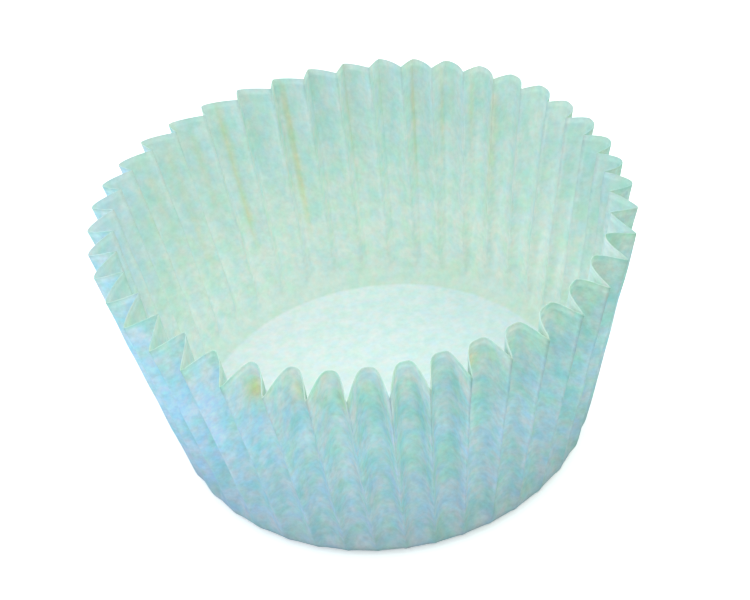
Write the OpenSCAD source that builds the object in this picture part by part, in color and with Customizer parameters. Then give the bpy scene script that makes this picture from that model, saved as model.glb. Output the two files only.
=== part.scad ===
// Cupcake liner: one round sheet of thin greaseproof paper, pressed into a pleated cup.
// It stands on its floor. The centre of the underside is the origin, +z is up,
// and the side that is nearest in the photograph faces -y.

/* [Cup] */
// Diameter of the bottom, where floor and wall would meet without the bend between them
base_d = 51; // [40:0.5:60]
// Diameter over the outer folds at the rim
rim_d = 63.4; // [55:0.1:85]
// Height of the outer folds at the rim
height = 31; // [20:0.5:45]
// Radius of the bend between floor and wall
bend_r = 2.7; // [1:0.1:6]
// Thickness of the paper
paper_t = 0.08; // [0.05:0.01:0.3]

/* [Pleats] */
// Number of pleats round the wall
pleats = 42; // [24:1:56]
// Direction of the first outer fold, in degrees from +x
first_fold = 5.6; // [0:0.1:15]
// Share of the sheet's full pleat depth that is left after pressing
fold_set = 0.94; // [0.6:0.01:1]
// Length of paper above the floor in which the pleats grow to their full depth
fold_start = 6; // [2:0.5:15]

/* [Wear] */
// How far the cup has given way since it was pressed: 0 is new, 1 is the cup in the photograph
wear = 1; // [0:0.1:1.3]

/* [Hidden] */

paper_color = [0.74, 0.88, 0.83];

// The wear is a few long waves round the cup, each one as
// [number of crests, size, direction of a crest]; no crests means the same all the way round.
// The rim leans in or out by these, in hundredths of its diameter.
out_waves = [[2, 0.44, -35], [3, 1, 36], [4, 0.96, -43]];
// The rim stands higher or lower by these, in hundredths of its diameter.
up_waves = [[2, 0.5, -70], [3, 1.23, -38]];
// The folds drift to one side by these, in degrees.
drift_waves = [[1, 0.77, 175], [2, 2, 35], [3, 1.23, 13]];
// The pleats are deeper or flatter by these, as a share of their depth.
depth_waves = [[1, 0.145, -107], [2, 0.08, 89]];
// The folds are rounded by these: above 0 the inner folds are round, below 0 the outer ones.
round_waves = [[0, 0.28, 0], [1, 1.25, -85], [2, 1, -72], [3, 0.25, -58]];
// The pleats lie over clockwise by these, as a share of a pleat.
lean_waves = [[0, 0.11, 0], [1, 0.17, 123], [2, 0.095, 42]];

// facets: pleats, columns in one pleat, rows in the bend and rows in the straight wall
folds = round(pleats);
pleat_cols = 8;
bend_rows = 3;
wall_rows = 4;
cols = folds * pleat_cols;
rows = bend_rows + wall_rows;

// the wall's lean, and the bend that touches both floor and wall
lean = atan2((rim_d - base_d) / 2, height);
bend_turn = 90 - lean;
bend_leg = bend_r * tan(bend_turn / 2);
floor_r = base_d / 2 - bend_leg;
bend_len = bend_r * bend_turn * PI / 180;
wall_len = norm([(rim_d - base_d) / 2, height]) - bend_leg;
sheet_len = bend_len + wall_len;

// a row's distance along the sheet from the edge of the flat floor
function along(i) =
    i <= bend_rows
        ? bend_len * i / bend_rows
        : bend_len + wall_len * (i - bend_rows) / wall_rows;

// angle by which the sheet has turned up at distance s, from flat to the wall's slope
function turned(s) = bend_turn * min(s / bend_len, 1);

// the line of an outer fold as [distance from the axis, height]
function fold_line(s) =
    let (a = turned(s), w = max(s - bend_len, 0))
    [floor_r + bend_r * sin(a) + w * cos(bend_turn),
     bend_r * (1 - cos(a)) + w * sin(bend_turn)];

// The sheet doesn't stretch: the ring at distance s is as long as it was in the flat disc.
// One flank of a pleat is the long side of a triangle whose short side is half a pitch,
// and the third side is how deep the pleat has to be.
function full_depth(s) =
    let (flank = (floor_r + s) * PI / folds, half_pitch = fold_line(s)[0] * PI / folds)
    sqrt(max(flank * flank - half_pitch * half_pitch, 0));

// the share of that depth that the pleats have just above the floor, where they fade out
function started(s) =
    let (t = min(s / fold_start, 1))
    t * t * (3 - 2 * t);

// the sum of some waves in one direction
function sway(waves, dir) =
    wear * [for (w = waves) w[1] * cos(w[0] * (dir - w[2]))] * [for (w = waves) 1];

// a direction with the drift of the folds there
function drifted(even) = even + sway(drift_waves, even);

// A column's place in its pleat, from 0 at one outer fold to 1 at the next. Half the columns
// are on each flank, and the pleat's lean moves the inner fold between them off the middle.
function column_share(j) =
    let (
        pleat = floor(j / pleat_cols),
        t = 2 * (j % pleat_cols) / pleat_cols,
        middle = 0.5 - sway(lean_waves, drifted(first_fold + 360 * (pleat + 0.5) / folds))
    )
    t <= 1 ? middle * t : middle + (1 - middle) * (t - 1);

// the direction of a column
function direction(j) = drifted(first_fold + 360 * (floor(j / pleat_cols) + column_share(j)) / folds);

// How deep the sheet lies inside a fold's line at column j, as a share of the pleat's depth:
// straight flanks, or with q above 0 a round inner fold, or with q below 0 a round outer fold
function fold_shape(j, q) =
    let (flat = 1 - abs(1 - 2 * (j % pleat_cols) / pleat_cols))
    q >= 0 ? 1 - pow(1 - flat, 1 + q) : pow(flat, 1 - q);

// the sheet's slope from column j to the next one
function flank_slope(j, q) =
    (fold_shape(j + 1, q) - fold_shape(j, q)) / (direction(j + 1) - direction(j)) * 180 / PI;

// its slope at column j: between the two sides, or at a fold that of the steeper flank
function fold_slope(j, q) =
    let (before = flank_slope((j + cols - 1) % cols, q), after = flank_slope(j, q))
    j % (pleat_cols / 2) == 0 ? max(abs(before), abs(after)) : (before + after) / 2;

// a point of the sheet: row i, column j, and how far through the paper from its outer side
function sheet_point(i, j, through) =
    let (
        s = along(i),
        a = turned(s),
        dir = direction(j),
        q = sway(round_waves, dir),
        depth = full_depth(s) * started(s) * (fold_set + sway(depth_waves, dir)),
        steep = depth * fold_slope(j, q) / fold_line(s)[0],
        inward = depth * fold_shape(j, q) + through * sqrt(1 + steep * steep),
        worn = pow(s / sheet_len, 1.5) * rim_d / 100 * [sway(out_waves, dir), sway(up_waves, dir)],
        p = fold_line(s) + worn - inward * [sin(a), -cos(a)]
    )
    [p[0] * cos(dir), p[0] * sin(dir), p[1]];

// the sheet as one closed skin: its outer side, its inner side, the cut edge and the floor
module liner() {
    side = (rows + 1) * cols;
    points = [for (through = [0, paper_t]) for (i = [0:rows]) for (j = [0:cols - 1]) sheet_point(i, j, through)];
    outer = [for (i = [0:rows - 1]) for (j = [0:cols - 1])
        let (a = i * cols + j, b = i * cols + (j + 1) % cols)
        each [[a, a + cols, b + cols], [a, b + cols, b]]];
    inner = [for (f = outer) [f[2] + side, f[1] + side, f[0] + side]];
    edge = [for (j = [0:cols - 1])
        let (a = rows * cols + j, b = rows * cols + (j + 1) % cols)
        each [[a, a + side, b + side], [a, b + side, b]]];
    underside = [for (j = [0:cols - 1]) j];
    floor_top = [for (j = [cols - 1:-1:0]) j + side];
    color(paper_color)
        polyhedron(points, concat(outer, inner, edge, [underside, floor_top]), convexity = 10);
}

liner();
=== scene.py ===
import bpy
import numpy as np
from mathutils import Matrix


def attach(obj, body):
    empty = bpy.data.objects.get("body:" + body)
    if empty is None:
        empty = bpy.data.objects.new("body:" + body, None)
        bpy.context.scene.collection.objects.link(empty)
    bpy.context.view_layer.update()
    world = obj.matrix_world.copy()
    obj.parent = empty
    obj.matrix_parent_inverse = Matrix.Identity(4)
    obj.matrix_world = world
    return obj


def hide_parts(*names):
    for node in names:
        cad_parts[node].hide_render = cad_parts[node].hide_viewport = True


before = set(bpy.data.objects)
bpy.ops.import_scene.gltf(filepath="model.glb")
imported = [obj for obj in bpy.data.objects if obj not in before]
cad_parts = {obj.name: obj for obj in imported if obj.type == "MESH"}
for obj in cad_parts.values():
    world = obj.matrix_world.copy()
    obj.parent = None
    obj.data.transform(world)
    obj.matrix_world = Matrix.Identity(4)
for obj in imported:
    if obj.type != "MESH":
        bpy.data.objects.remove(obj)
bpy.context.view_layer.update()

# The camera
# It stands close in front of the cup and looks down into it at about 40 degrees,
# turned a little clockwise, so that the cup lies tilted in the picture.
MM = 0.001
EYE_MM = (0.335, -133.301, 127.045)
LOOK_DOWN = np.radians(39.562)
ROLL = np.radians(-6.944)
LENS_MM, SENSOR_MM = 69.132, 36.0
NEAREST, FARTHEST = 0.01, 10.0

ahead = np.array([0.0, np.cos(LOOK_DOWN), -np.sin(LOOK_DOWN)])
level = np.array([1.0, 0.0, 0.0])
above = np.array([0.0, np.sin(LOOK_DOWN), np.cos(LOOK_DOWN)])
camera_data = bpy.data.cameras.new("camera")
camera_data.lens = LENS_MM
camera_data.sensor_width = SENSOR_MM
camera_data.clip_start = NEAREST
camera_data.clip_end = FARTHEST
camera = bpy.data.objects.new("camera", camera_data)
bpy.context.scene.collection.objects.link(camera)
stand = np.eye(4)
stand[:3, 0] = level * np.cos(ROLL) + above * np.sin(ROLL)
stand[:3, 1] = above * np.cos(ROLL) - level * np.sin(ROLL)
stand[:3, 2] = -ahead
stand[:3, 3] = np.array(EYE_MM) * MM
camera.matrix_world = Matrix(stand.tolist())
bpy.context.scene.camera = camera
bpy.context.scene.view_settings.view_transform = "Standard"

# The pleated cup
# One disc of thin greaseproof paper, dyed pale mint. A die presses it into a cup: the floor
# stays flat, and the wall takes up the spare paper in 42 pleats that run out to a zigzag rim.

# Lengths are in millimetres and directions in degrees from +x.
BASE_D, RIM_D, HEIGHT, BEND_R, PAPER_T = 51.0, 63.4, 31.0, 2.7, 0.08
PLEATS, FIRST_FOLD, FOLD_SET, FOLD_START = 42, 5.6, 0.94, 6.0
FOLD_SOFT = 0.08
PLEAT_COLS = 20
BEND_ROWS, WALL_ROWS, FLOOR_RINGS = 8, 31, 6

# The wear is a few long waves round the cup, as (crests, size, direction of a crest). The rim's
# are in hundredths of its diameter and grow towards it, the drift is in degrees, and the rest
# are shares.
OUT_WAVES = ((2, 0.44, -35), (3, 1, 36), (4, 0.96, -43))
UP_WAVES = ((2, 0.5, -70), (3, 1.23, -38))
DRIFT_WAVES = ((1, 0.77, 175), (2, 2, 35), (3, 1.23, 13))
DEPTH_WAVES = ((1, 0.145, -107), (2, 0.08, 89))
ROUND_WAVES = ((0, 0.28, 0), (1, 1.25, -85), (2, 1, -72), (3, 0.25, -58))
LEAN_WAVES = ((0, 0.11, 0), (1, 0.17, 123), (2, 0.095, 42))
WEAR_POWER = 1.5

half_flare = (RIM_D - BASE_D) / 2
bend_turn = np.pi / 2 - np.arctan2(half_flare, HEIGHT)
bend_leg = BEND_R * np.tan(bend_turn / 2)
floor_r = BASE_D / 2 - bend_leg
bend_len = BEND_R * bend_turn
wall_len = np.hypot(half_flare, HEIGHT) - bend_leg
sheet_len = bend_len + wall_len


def sway(waves, direction):
    """Adds up waves: each is its size times the cosine of crests times (direction less its crest's)."""
    return sum(w[1] * np.cos(np.radians(w[0] * (direction - w[2]))) for w in waves)


def fold_line(s):
    """The line of an outer fold: an arc of the bend's radius, then straight up the wall's slope.
    Gives its distance from the axis, its height and the angle it has turned up by."""
    a = bend_turn * np.minimum(s / bend_len, 1)
    w = np.maximum(s - bend_len, 0)
    r = floor_r + BEND_R * np.sin(a) + w * np.cos(bend_turn)
    z = BEND_R * (1 - np.cos(a)) + w * np.sin(bend_turn)
    return r, z, a


def pleat_depth(s, direction):
    """Depth is the root of flank squared less half pitch squared, where the flank is as wide as
    the flat sheet makes it, times the share that is left after pressing. It fades in over the
    first millimetres as t * t * (3 - 2 * t)."""
    flank = (floor_r + s) * np.pi / PLEATS
    half_pitch = fold_line(s)[0] * np.pi / PLEATS
    t = np.minimum(s / FOLD_START, 1)
    full = np.sqrt(np.maximum(flank**2 - half_pitch**2, 0))
    return full * t * t * (3 - 2 * t) * (FOLD_SET + sway(DEPTH_WAVES, direction))


def fold_shape(flat, q):
    """How deep the sheet lies on its way from an outer fold, flat 0, to the inner one, flat 1:
    straight flanks give flat itself. Where q is above 0 it is 1 - (1 - flat)^(1 + q), a round
    inner fold, and else flat^(1 - q), a round outer fold. First the outer fold is softened:
    flat becomes the root of flat squared plus FOLD_SOFT squared, set to run from 0 to 1."""
    power = 1 + np.abs(q)
    soft = (np.hypot(flat, FOLD_SOFT) - FOLD_SOFT) / (np.hypot(1, FOLD_SOFT) - FOLD_SOFT)
    return np.where(q >= 0, 1 - (1 - soft) ** power, soft**power)


def drifted(even):
    """A direction in degrees with the drift of the folds there added."""
    return even + sway(DRIFT_WAVES, even)


# No two pleats are the same: each fold has slipped a little to one side, in degrees, each pleat
# has its own share of the full depth, and the rim is cut a little higher or lower, in millimetres.
# The slip grows over the first 10 mm of the wall, and the ripples over the first 5 mm.
SLIP, DEPTH_SPREAD, TRIM = 0.16, 0.03, 0.08
SLIP_START, RIPPLE_START = 10, 5
RIPPLES, RIPPLE_SIZE = 26, 0.012
LONG_RIPPLE, SHORT_RIPPLE = 0.25, 0.7
dice = np.random.default_rng(7)
fold_slip = dice.normal(0, SLIP, PLEATS)
pleat_share = 1 + dice.normal(0, DEPTH_SPREAD, PLEATS)
rim_trim = dice.normal(0, TRIM, PLEATS)
ripple_k = dice.normal(0, 1, (3, RIPPLES)) * np.linspace(LONG_RIPPLE, SHORT_RIPPLE, RIPPLES)
ripple_phase = dice.uniform(0, 2 * np.pi, RIPPLES)


def sheet(s, column):
    """The pressed sheet's outer side at distance s from the floor's edge. Half of a pleat's
    columns are on each flank, and the inner fold between them lies off the middle by the lean.
    The place is the fold line, plus the wear times (s / sheet length)^1.5, less the pleat's
    depth along the wall's inward side. Fine ripples are a sum of plane waves."""
    pleat = (column // PLEAT_COLS).astype(int)
    t = 2 * (column % PLEAT_COLS) / PLEAT_COLS
    middle = 0.5 - sway(LEAN_WAVES, drifted(FIRST_FOLD + 360 * (pleat + 0.5) / PLEATS))
    u = np.where(t <= 1, middle * t, middle + (1 - middle) * (t - 1))
    after = (pleat + 1) % PLEATS
    slip = (fold_slip[pleat] * (1 - u) + fold_slip[after] * u) * np.minimum(s / SLIP_START, 1)
    direction = drifted(FIRST_FOLD + 360 * (pleat + u) / PLEATS) + slip
    r, z, a = fold_line(s)
    depth = pleat_depth(s, direction) * pleat_share[pleat]
    inward = depth * fold_shape(1 - np.abs(1 - t), sway(ROUND_WAVES, direction))
    worn = (s / sheet_len) ** WEAR_POWER * RIM_D / 100
    r = r + worn * sway(OUT_WAVES, direction) - inward * np.sin(a)
    trim = (rim_trim[pleat] * (1 - u) + rim_trim[after] * u) * (s / sheet_len) ** 2
    z = z + worn * sway(UP_WAVES, direction) + trim + inward * np.cos(a)
    radians = np.radians(direction)
    place = np.stack([r * np.cos(radians), r * np.sin(radians), z], axis=-1)
    waves = np.sin(place @ ripple_k + ripple_phase).sum(axis=-1)
    ripple = waves * RIPPLE_SIZE * np.minimum(s / RIPPLE_START, 1)
    out = np.stack([np.cos(radians), np.sin(radians), 0 * radians], axis=-1)
    return place + ripple[..., None] * out


rows_s = np.concatenate([
    bend_len * np.arange(BEND_ROWS) / BEND_ROWS,
    bend_len + wall_len * np.linspace(0, 1, WALL_ROWS + 1),
])
columns = np.arange(PLEATS * PLEAT_COLS)
S, C = np.meshgrid(rows_s, columns, indexing="ij")
wall = sheet(S, C)
ring_share = np.linspace(0, 1, FLOOR_RINGS + 1)[1:-1]
floor_grid = wall[0][None] * ring_share[:, None, None]
floor_grid[..., 2] = 0
outer = np.concatenate([floor_grid, wall])

# The inner side lies one paper's thickness in, along the sheet's own normal.
around = np.roll(outer, -1, axis=1) - np.roll(outer, 1, axis=1)
along = np.gradient(outer, axis=0)
normal = np.cross(around, along)
normal /= np.linalg.norm(normal, axis=-1, keepdims=True)
normal[:FLOOR_RINGS] = (0, 0, -1)
inner = outer - normal * PAPER_T

# The faces: both sides, the cut edge between them, and a fan round the middle of each side.
n_rows, n_cols = outer.shape[:2]
side = n_rows * n_cols
verts = np.concatenate([outer.reshape(-1, 3), inner.reshape(-1, 3), [[0, 0, 0], [0, 0, PAPER_T]]])
i, j = np.meshgrid(np.arange(n_rows - 1), columns, indexing="ij")
here, beside = i * n_cols + j, i * n_cols + (j + 1) % n_cols
quads = np.stack([here, beside, beside + n_cols, here + n_cols], axis=-1).reshape(-1, 4)
rim_here, rim_beside = side - n_cols + columns, side - n_cols + np.roll(columns, -1)
rim = np.stack([rim_here, rim_beside, rim_beside + side, rim_here + side], axis=-1)
hub = np.stack([columns, np.roll(columns, -1)], axis=-1)
faces = quads.tolist() + (quads[:, ::-1] + side).tolist() + rim.tolist()
faces += [[2 * side, q, p] for p, q in hub.tolist()]
faces += [[2 * side + 1, p + side, q + side] for p, q in hub.tolist()]
cup_mesh = bpy.data.meshes.new("pleated_cup")
cup_mesh.from_pydata((verts * MM).tolist(), [], faces)
cup_mesh.update()
smooth = np.ones(len(faces), bool)
smooth[2 * len(quads):2 * len(quads) + len(rim)] = False
cup_mesh.polygons.foreach_set("use_smooth", smooth)
cup = bpy.data.objects.new("pleated_cup", cup_mesh)
bpy.context.scene.collection.objects.link(cup)

# Folds are counted in pleats from the first one, anticlockwise, and heights are shares of the wall.
# A yellow-brown line of painted crease shade runs down inside beside a fold, as (fold, strength,
# half its width in pleats, height where it has faded). It fades out over the last quarter of the
# wall above that, and is weaker at the rim. Every outer fold has a faint one near the rim.
CREASE_SHADE_LINES = (
    (11.87, 1.0, 0.055, 0.25), (13.79, 0.9, 0.05, 0.25), (14.73, 0.4, 0.055, 0.45),
    (15.68, 0.4, 0.05, 0.3), (16.65, 0.35, 0.06, 0.55), (17.5, 0.25, 0.08, 0.6),
    (10.08, 0.5, 0.11, 0.45), (9.1, 0.25, 0.08, 0.6), (8.12, 0.75, 0.11, 0.45),
    (7.22, 0.55, 0.09, 0.5), (6.3, 0.5, 0.08, 0.55), (5.5, 0.6, 0.11, 0.4), (4.0, 0.3, 0.10, 0.55),
)
LINE_FADE, LINE_AT_RIM = 0.25, 0.3
FAINT_LINE, FAINT_WIDTH, FAINT_END = 0.12, 0.2, 0.6
# Outside, some pleats have a painted yellow spot of light through the sheet just below the rim, as (fold,
# height, strength).
LIT_THROUGH_SPOTS = (
    (27.40, 0.88, 1.0), (28.55, 0.89, 0.6), (29.75, 0.88, 0.45), (25.70, 0.88, 0.4), (33.3, 0.93, 0.5),
)
SPOT_WIDTH, SPOT_HEIGHT = 0.16, 0.05
# And the colour is lighter along some folds outside, as (fold, strength, height where it has faded).
PALE_BANDS = (
    (26.15, 0.6, 0.5), (28.4, 0.8, 0.3), (29.5, 1.0, 0.2), (31.0, 0.4, 0.3),
    (33.1, 0.9, 0.15), (34.15, 0.9, 0.2), (35.1, 0.9, 0.2),
)
BAND_WIDTH, BAND_TOP = 0.2, 0.95

sheet_s = np.concatenate([(ring_share - 1) * floor_r, rows_s])
up_wall = np.clip(sheet_s / sheet_len, 0, 1)
column_k = columns / PLEAT_COLS
from_fold = 2 * np.abs(column_k - np.round(column_k))
faint = np.clip((up_wall - FAINT_END) / (1 - FAINT_END), 0, 1)
crease_shade = FAINT_LINE * np.exp(-((from_fold / FAINT_WIDTH) ** 2)) * faint[:, None]
for fold, strength, width, end in CREASE_SHADE_LINES:
    across = np.exp(-(((column_k - fold) / width) ** 2))
    fade = np.clip((up_wall - end) / LINE_FADE, 0, 1) * np.clip((1.02 - up_wall) / 0.12, LINE_AT_RIM, 1)
    crease_shade = np.maximum(crease_shade, strength * fade[:, None] * across)
lit_through_spot = np.zeros_like(crease_shade)
for fold, height, strength in LIT_THROUGH_SPOTS:
    away = np.hypot((column_k - fold) / SPOT_WIDTH, (up_wall[:, None] - height) / SPOT_HEIGHT)
    lit_through_spot = np.maximum(lit_through_spot, strength * np.exp(-(away**2)))
pale = np.zeros_like(crease_shade)
for fold, strength, end in PALE_BANDS:
    across = np.exp(-(((column_k - fold) / BAND_WIDTH) ** 2))
    fade = np.clip((up_wall - end) / 0.2, 0, 1) * np.clip((BAND_TOP - up_wall) / 0.15, 0, 1)
    pale = np.maximum(pale, strength * fade[:, None] * across)


def mark(name, outside, inside):
    """Stores one value for each point of the outer side and of the inner side, and gives the
    middle of each side the value of its innermost ring."""
    layer = cup_mesh.attributes.new(name, "FLOAT", "POINT")
    sides = [np.broadcast_to(side, (n_rows, n_cols)).ravel() for side in (outside, inside)]
    values = np.concatenate([*sides, [sides[0][0], sides[1][0]]])
    layer.data.foreach_set("value", values.astype(np.float32))


# The material reads these marks. Facing is the sine of the place in the pleat: it is above 0 on
# one flank and below 0 on the other. It is weaker outside, and inside a second wave makes it
# change faster at the inner fold.
FACING_OUTSIDE, FACING_SHARP = 0.45, 0.3
phase = 2 * np.pi * column_k
on_floor = (sheet_s <= 0.0)[:, None]
mark("inside", 0.0, 1.0)
mark("up_wall", up_wall[:, None], up_wall[:, None])
mark("floor_share", on_floor, on_floor)
mark("fold_far", from_fold, from_fold)
mark("facing", FACING_OUTSIDE * np.sin(phase), np.sin(phase) - FACING_SHARP * np.sin(2 * phase))
# The worn mark carries painted light and shade: spots of light through the sheet outside, and crease
# shade inside.
mark("worn", lit_through_spot, crease_shade)
mark("pale", pale, 0.0)

paper = bpy.data.materials.new("mint_paper")
paper.use_nodes = True
nodes, links = paper.node_tree.nodes, paper.node_tree.links
nodes.clear()


def node(kind, **values):
    """A node of the material at hand, with its named settings and input values."""
    made = nodes.new(kind)
    for key, value in values.items():
        if key in made.inputs:
            made.inputs[key].default_value = value
        else:
            setattr(made, key, value)
    return made


def read(name):
    """The value of one of the mesh's marks."""
    return node("ShaderNodeAttribute", attribute_name=name).outputs["Fac"]


def mix(share, first, second, kind="MIX"):
    """Mixes two colours, given as sockets or as (r, g, b), by a share that is a socket."""
    made = node("ShaderNodeMix", data_type="RGBA", blend_type=kind)
    links.new(share, made.inputs[0])
    for socket, value in ((made.inputs[6], first), (made.inputs[7], second)):
        if isinstance(value, bpy.types.NodeSocket):
            links.new(value, socket)
        else:
            socket.default_value = (*value, 1)
    return made.outputs[2]


def tinted(base, share, tint):
    """A colour times a tint, as far as the share says."""
    return mix(share, base, tint, "MULTIPLY")


def ramp(socket, low, high, to_low=0.0, to_high=1.0):
    """Maps a value from one range to another and stops at its ends."""
    made = node("ShaderNodeMapRange")
    links.new(socket, made.inputs["Value"])
    for key, value in (("From Min", low), ("From Max", high), ("To Min", to_low), ("To Max", to_high)):
        made.inputs[key].default_value = value
    return made.outputs["Result"]


def noise(where, size_mm, detail, seed, rough=0.5):
    """Noise whose patches are about size_mm wide, at a place that a socket gives."""
    made = node("ShaderNodeTexNoise", noise_dimensions="4D")
    made.inputs["Scale"].default_value = 1 / (size_mm * MM)
    made.inputs["Detail"].default_value = detail
    made.inputs["Roughness"].default_value = rough
    made.inputs["W"].default_value = seed
    links.new(where, made.inputs["Vector"])
    return made.outputs["Fac"]


# The paper's colours, with light and shade painted into them, then the tints that change them in
# places. Low and high are on the wall, and left, right and back are as the camera sees the cup.
OUTSIDE_LOW, OUTSIDE_HIGH = (0.535, 0.63, 0.675), (0.795, 0.915, 0.915)
INSIDE_LOW, INSIDE_HIGH = (0.915, 0.955, 0.89), (0.77, 0.87, 0.83)
FLOOR_LEFT, FLOOR_RIGHT = (0.92, 0.925, 0.96), (0.82, 0.88, 0.915)
UNDER_RIM_THROUGH_LIGHT = (0.87, 0.91, 0.85)
PLAIN = (1.0, 1.0, 1.0)
OUTER_FOLD_HIGHLIGHT, INNER_FOLD_SHADE = (1.015, 1.01, 1.04), (0.97, 0.99, 0.965)
FOLD_EDGE_SHADE = (0.92, 0.955, 0.955)
FOOT_SHADE_OUTSIDE = (0.845, 0.79, 0.745)
LEFT_BLUE_LIGHT, RIGHT_SHADE_HIGH = (0.915, 0.985, 1.12), (0.82, 0.895, 0.845)
FOOT_SHADE_INSIDE = (0.86, 0.895, 0.895)
FOOT_LIGHT_LEFT, FOOT_SHADE_RIGHT = (1.0, 1.015, 1.04), (0.97, 0.98, 0.97)
FLOOR_BACK_LIGHT = (1.06, 1.05, 1.04)
FAR_LEFT_LIGHT, FAR_RIGHT_SHADE = (1.03, 1.0, 1.13), (0.80, 0.91, 0.90)
FLANK_DIM, FLANK_BRIGHT = (0.925, 0.95, 0.955), (1.07, 1.045, 1.04)
LIT_THROUGH_YELLOW, CREASE_SHADE_YELLOW = (1.22, 0.96, 0.52), (1.04, 0.925, 0.70)
PALE_FOLD = (1.09, 1.03, 1.07)
RIM_SHADE = (0.90, 0.93, 0.91)
CUT_SHADE_OUTSIDE, CUT_SHADE_INSIDE = (0.68, 0.79, 0.75), (0.83, 0.84, 0.85)

place = node("ShaderNodeTexCoord").outputs["Object"]
spot = node("ShaderNodeSeparateXYZ")
links.new(place, spot.inputs["Vector"])
x, y = spot.outputs["X"], spot.outputs["Y"]
up, inside, fold_far = read("up_wall"), read("inside"), read("fold_far")

# Outside the paper is painted bluer, for the bluish light it gets there, and darker towards the floor, as
# painted shade.
outer_paper = mix(ramp(up, 0.0, 0.65), OUTSIDE_LOW, OUTSIDE_HIGH)
# Painted highlight on the outer folds, and painted shade in the valleys at the inner folds.
folds = mix(ramp(fold_far, 0.1, 0.9), OUTER_FOLD_HIGHLIGHT, INNER_FOLD_SHADE)
outer_paper = tinted(outer_paper, ramp(up, 0.1, 0.7), folds)
# Just under the rim, painted warm light that comes through the sheet from inside.
outer_paper = mix(ramp(up, 0.82, 0.94, 0.0, 0.8), outer_paper, UNDER_RIM_THROUGH_LIGHT)
# Painted shade at the foot of the wall outside.
outer_paper = tinted(outer_paper, ramp(up, 0.22, 0.03), FOOT_SHADE_OUTSIDE)
# Painted shade along each outer fold.
outer_paper = tinted(outer_paper, ramp(fold_far, 0.25, 0.0), FOLD_EDGE_SHADE)
# Painted shade high on the right side, and painted blue light on the left side.
outer_paper = tinted(outer_paper, ramp(up, 0.55, 0.8), mix(ramp(x, 0.004, 0.031), PLAIN, RIGHT_SHADE_HIGH))
outer_paper = tinted(outer_paper, ramp(x, -0.006, -0.031), LEFT_BLUE_LIGHT)
outer_paper = tinted(outer_paper, read("pale"), PALE_FOLD)

# Inside, painted light: the paper is greener for the light bounced between the walls and lighter low
# down, and the floor is whiter for the light it gets from above.
inner_paper = mix(ramp(up, 0.3, 0.95), INSIDE_LOW, INSIDE_HIGH)
# Painted shade in the bend at the foot of the wall inside.
inner_paper = tinted(inner_paper, ramp(up, 0.11, 0.05), FOOT_SHADE_INSIDE)
rightwards = ramp(x, -0.018, 0.010)
# Low on the wall inside, painted blue light at the left and painted shade at the right.
inner_paper = tinted(inner_paper, ramp(up, 0.35, 0.12), mix(rightwards, FOOT_LIGHT_LEFT, FOOT_SHADE_RIGHT))
# The floor's colours are painted light, lighter at the left than at the right.
bottom = mix(rightwards, FLOOR_LEFT, FLOOR_RIGHT)
# Painted light at the floor's back edge, thrown there by the wall.
bottom = tinted(bottom, ramp(y, 0.017, 0.023), FLOOR_BACK_LIGHT)
inner_paper = mix(read("floor_share"), inner_paper, bottom)
# At the far left inside, painted blue light, and at the far right, painted shade.
inner_paper = tinted(inner_paper, ramp(x, -0.026, -0.031), FAR_LEFT_LIGHT)
inner_paper = tinted(inner_paper, ramp(x, 0.026, 0.031), FAR_RIGHT_SHADE)

# Both sides have painted light and shade from the worn mark, a band of painted shade along the rim, and a
# cut edge painted darker to hold down the light it catches from above.
colour = mix(inside, outer_paper, inner_paper)
# Painted light and shade on the pleats' flanks, by the facing mark: one flank lighter, the other dimmer.
flank = mix(ramp(read("facing"), -1.0, 1.0), FLANK_DIM, FLANK_BRIGHT)
colour = tinted(colour, ramp(up, 0.15, 0.5), flank)
# Painted yellow light through the sheet in spots outside, and painted yellow-brown crease shade inside.
colour = tinted(colour, read("worn"), mix(inside, LIT_THROUGH_YELLOW, CREASE_SHADE_YELLOW))
colour = tinted(colour, ramp(up, 0.94, 0.98), RIM_SHADE)
colour = tinted(colour, ramp(up, 0.98, 1.0), mix(inside, CUT_SHADE_OUTSIDE, CUT_SHADE_INSIDE))

# The dye has taken unevenly: patches of green, blue and pink, a little taller than wide, as
# (size in millimetres, seed, tint), and a finer grain. Both are fainter inside and on the floor.
PATCHES = ((1.9, 1.0, (0.82, 1.0, 0.89)), (1.6, 5.0, (0.84, 0.96, 1.06)), (0.9, 9.0, (1.11, 0.965, 0.95)))
GRAIN_MM, GRAIN_DARK, GRAIN_LIGHT = 0.65, (0.895, 0.905, 0.90), (1.105, 1.095, 1.10)
dyed = node("ShaderNodeMath", operation="MULTIPLY")
links.new(ramp(up, 0.0, 0.15, 0.75, 1.0), dyed.inputs[0])
links.new(ramp(inside, 0.0, 1.0, 1.0, 0.6), dyed.inputs[1])
taller = node("ShaderNodeMapping", Scale=(1.0, 1.0, 0.75))
links.new(place, taller.inputs["Vector"])
for size, seed, tint in PATCHES:
    patch = ramp(noise(taller.outputs["Vector"], size, 2.0, seed), 0.42, 0.64)
    colour = tinted(colour, dyed.outputs["Value"], mix(patch, PLAIN, tint))
grain = ramp(noise(place, GRAIN_MM, 3.0, 3.0, 0.6), 0.3, 0.7)
colour = tinted(colour, dyed.outputs["Value"], mix(grain, GRAIN_DARK, GRAIN_LIGHT))

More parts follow.
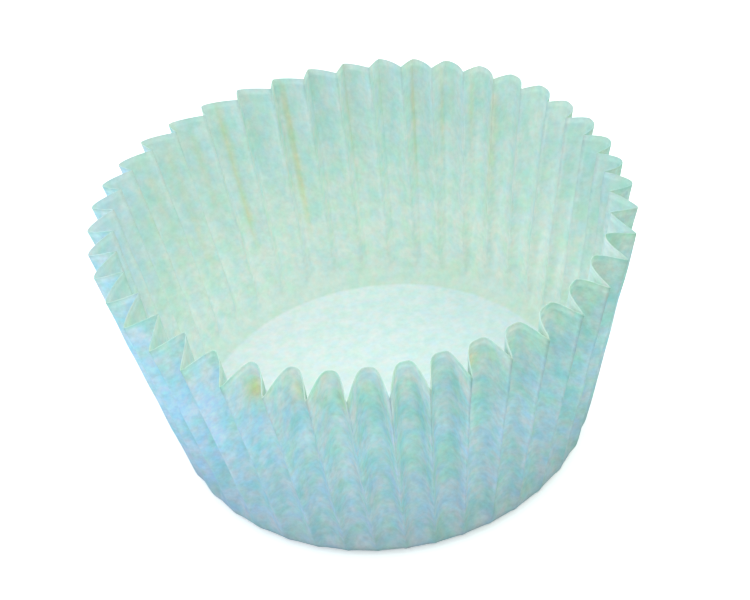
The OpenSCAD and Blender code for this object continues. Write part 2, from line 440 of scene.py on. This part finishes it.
# The fibres stand up by hundredths of a millimetre, and the thin sheet lets some light through.
FIBRE_MM, LIGHT_THROUGH = 0.5, 0.18
bump = node("ShaderNodeBump", Strength=0.5, Distance=0.00006)
links.new(noise(place, FIBRE_MM, 4.0, 13.0, 0.65), bump.inputs["Height"])
front = node("ShaderNodeBsdfPrincipled", Roughness=0.72)
front.inputs["Specular IOR Level"].default_value = 0.25
through = node("ShaderNodeBsdfTranslucent")
blend = node("ShaderNodeMixShader", Fac=LIGHT_THROUGH)
links.new(colour, front.inputs["Base Color"])
links.new(colour, through.inputs["Color"])
links.new(bump.outputs["Normal"], front.inputs["Normal"])
links.new(front.outputs["BSDF"], blend.inputs[1])
links.new(through.outputs["BSDF"], blend.inputs[2])
links.new(blend.outputs["Shader"], node("ShaderNodeOutputMaterial").inputs["Surface"])
cup_mesh.materials.append(paper)

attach(cup, "root")
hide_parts("liner")

# The table
# A plain white top that the cup stands on, far wider than the picture. It shows white, but
# throws only a dim and slightly blue light back at the cup.
TABLE_HALF, TABLE_TOP = 3.0, -0.00002
WHITE, GLOW, DIM_BLUE = (0.95, 0.92, 0.92, 1), 0.32, (0.46, 0.53, 0.58, 1)
table_mesh = bpy.data.meshes.new("table")
corners = [(-1, -1), (1, -1), (1, 1), (-1, 1)]
table_points = [(p * TABLE_HALF, q * TABLE_HALF, TABLE_TOP) for p, q in corners]
table_mesh.from_pydata(table_points, [], [(0, 1, 2, 3)])
table = bpy.data.objects.new("table", table_mesh)
bpy.context.scene.collection.objects.link(table)
white = bpy.data.materials.new("white_top")
white.use_nodes = True
nodes, links = white.node_tree.nodes, white.node_tree.links
top = nodes["Principled BSDF"]
top.inputs["Base Color"].default_value = WHITE
top.inputs["Roughness"].default_value = 0.9
top.inputs["Emission Color"].default_value = (1, 1, 1, 1)
top.inputs["Emission Strength"].default_value = GLOW
dim = node("ShaderNodeBsdfDiffuse", Color=DIM_BLUE)
seen = node("ShaderNodeMixShader")
links.new(node("ShaderNodeLightPath").outputs["Is Camera Ray"], seen.inputs["Fac"])
links.new(dim.outputs["BSDF"], seen.inputs[1])
links.new(top.outputs["BSDF"], seen.inputs[2])
links.new(seen.outputs["Shader"], nodes["Material Output"].inputs["Surface"])
table_mesh.materials.append(white)

# The light
# A bright, even studio: soft white light from overhead that fades towards the horizon,
# a little blue at the left and a little green at the right.
ZENITH = (1.86, 2.04, 1.88)
LEFT_EDGE, RIGHT_EDGE = (0.72, 0.85, 1.38), (0.28, 0.50, 0.37)
world = bpy.data.worlds.new("studio")
bpy.context.scene.world = world
world.use_nodes = True
nodes, links = world.node_tree.nodes, world.node_tree.links
towards = node("ShaderNodeSeparateXYZ")
links.new(node("ShaderNodeTexCoord").outputs["Generated"], towards.inputs["Vector"])
horizon = mix(ramp(towards.outputs["X"], -1.0, 1.0), LEFT_EDGE, RIGHT_EDGE)
sky = mix(ramp(towards.outputs["Z"], 0.0, 1.0), horizon, ZENITH)
links.new(sky, nodes["Background"].inputs["Color"])
